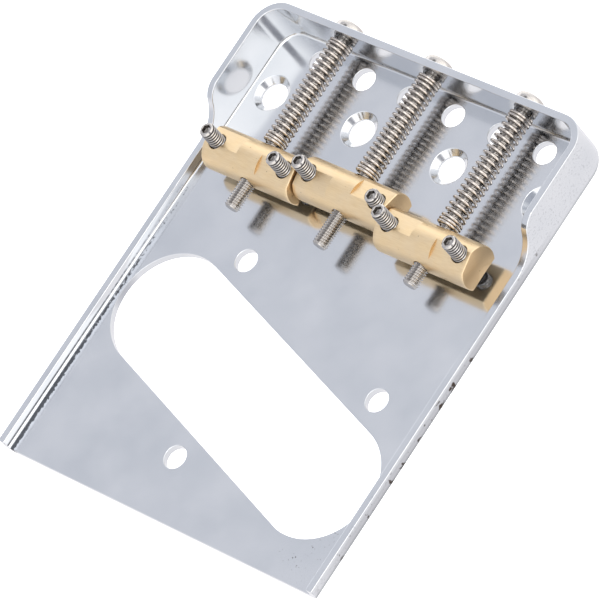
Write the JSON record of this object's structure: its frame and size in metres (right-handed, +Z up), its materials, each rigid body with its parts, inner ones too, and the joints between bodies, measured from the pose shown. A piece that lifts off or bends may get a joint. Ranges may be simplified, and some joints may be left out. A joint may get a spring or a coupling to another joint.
{
  "type": "three-saddle guitar bridge",
  "caption": "Chromed pressed-steel electric guitar bridge with brass barrel saddles, springs and a slanted pickup opening.",
  "frame": {"origin": "middle of the row of body screws, on the underside of the plate", "axes": "+X towards the bass side, +Y towards the rear wall where the strings come up, +Z up off the guitar body"},
  "size_m": [0.0772, 0.0938, 0.0137],
  "materials": {
    "plate": "polished",
    "barrel": "satin",
    "screw": "satin",
    "spring": "polished"
  },
  "bodies": {
    "plate": {"base_plate": "plate"},
    "treble_carrier": {"treble_spring": "spring"},
    "treble_screw": {"treble_intonation_screw": "screw"},
    "treble_barrel": {"treble_saddle": "barrel"},
    "treble_left_post": {"treble_height_screw_left": "screw"},
    "treble_right_post": {"treble_height_screw_right": "screw"},
    "middle_carrier": {"middle_spring": "spring"},
    "middle_screw": {"middle_intonation_screw": "screw"},
    "middle_barrel": {"middle_saddle": "barrel"},
    "middle_left_post": {"middle_height_screw_left": "screw"},
    "middle_right_post": {"middle_height_screw_right": "screw"},
    "bass_carrier": {"bass_spring": "spring"},
    "bass_screw": {"bass_intonation_screw": "screw"},
    "bass_barrel": {"bass_saddle": "barrel"},
    "bass_left_post": {"bass_height_screw_left": "screw"},
    "bass_right_post": {"bass_height_screw_right": "screw"}
  },
  "joints": [
    {"name": "treble_height", "type": "hinge", "parent": "plate", "child": "treble_carrier", "pos_m": [-0.0216, 0.0138, 0.0055], "axis": [-1, 0, 0], "range_deg": [-3, 4]},
    {"name": "treble_intonation", "type": "hinge", "parent": "treble_carrier", "child": "treble_screw", "pos_m": [-0.0216, 0.0138, 0.0055], "axis": [0, 1, 0], "range_deg": [-1800, 1800]},
    {"name": "treble_travel", "type": "slide", "parent": "treble_carrier", "child": "treble_barrel", "axis": [0, -1, 0], "range_m": [-0.0025, 0.0025], "deforming": ["treble_spring"]},
    {"name": "treble_left_foot", "type": "slide", "parent": "treble_barrel", "child": "treble_left_post", "axis": [0, 0, 1], "range_m": [-0.0025, 0.0025]},
    {"name": "treble_right_foot", "type": "slide", "parent": "treble_barrel", "child": "treble_right_post", "axis": [0, 0, 1], "range_m": [-0.0025, 0.0025]},
    {"name": "middle_height", "type": "hinge", "parent": "plate", "child": "middle_carrier", "pos_m": [0, 0.0138, 0.0055], "axis": [-1, 0, 0], "range_deg": [-3, 4]},
    {"name": "middle_intonation", "type": "hinge", "parent": "middle_carrier", "child": "middle_screw", "pos_m": [0, 0.0138, 0.0055], "axis": [0, 1, 0], "range_deg": [-1800, 1800]},
    {"name": "middle_travel", "type": "slide", "parent": "middle_carrier", "child": "middle_barrel", "axis": [0, -1, 0], "range_m": [-0.0025, 0.0025], "deforming": ["middle_spring"]},
    {"name": "middle_left_foot", "type": "slide", "parent": "middle_barrel", "child": "middle_left_post", "axis": [0, 0, 1], "range_m": [-0.0025, 0.0025]},
    {"name": "middle_right_foot", "type": "slide", "parent": "middle_barrel", "child": "middle_right_post", "axis": [0, 0, 1], "range_m": [-0.0025, 0.0025]},
    {"name": "bass_height", "type": "hinge", "parent": "plate", "child": "bass_carrier", "pos_m": [0.0216, 0.0138, 0.0055], "axis": [-1, 0, 0], "range_deg": [-3, 4]},
    {"name": "bass_intonation", "type": "hinge", "parent": "bass_carrier", "child": "bass_screw", "pos_m": [0.0216, 0.0138, 0.0055], "axis": [0, 1, 0], "range_deg": [-1800, 1800]},
    {"name": "bass_travel", "type": "slide", "parent": "bass_carrier", "child": "bass_barrel", "axis": [0, -1, 0], "range_m": [-0.0025, 0.0025], "deforming": ["bass_spring"]},
    {"name": "bass_left_foot", "type": "slide", "parent": "bass_barrel", "child": "bass_left_post", "axis": [0, 0, 1], "range_m": [-0.0025, 0.0025]},
    {"name": "bass_right_foot", "type": "slide", "parent": "bass_barrel", "child": "bass_right_post", "axis": [0, 0, 1], "range_m": [-0.0025, 0.0025]}
  ],
  "couplings": [
    {"joint": "treble_intonation", "follows": "treble_travel", "rad_per_m": 12566},
    {"joint": "treble_left_foot", "follows": "treble_height", "m_per_rad": -0.02805},
    {"joint": "treble_right_foot", "follows": "treble_height", "m_per_rad": -0.02805},
    {"joint": "middle_intonation", "follows": "middle_travel", "rad_per_m": 12566},
    {"joint": "middle_left_foot", "follows": "middle_height", "m_per_rad": -0.0268},
    {"joint": "middle_right_foot", "follows": "middle_height", "m_per_rad": -0.0268},
    {"joint": "bass_intonation", "follows": "bass_travel", "rad_per_m": 12566},
    {"joint": "bass_left_foot", "follows": "bass_height", "m_per_rad": -0.0296},
    {"joint": "bass_right_foot", "follows": "bass_height", "m_per_rad": -0.0296}
  ]
}
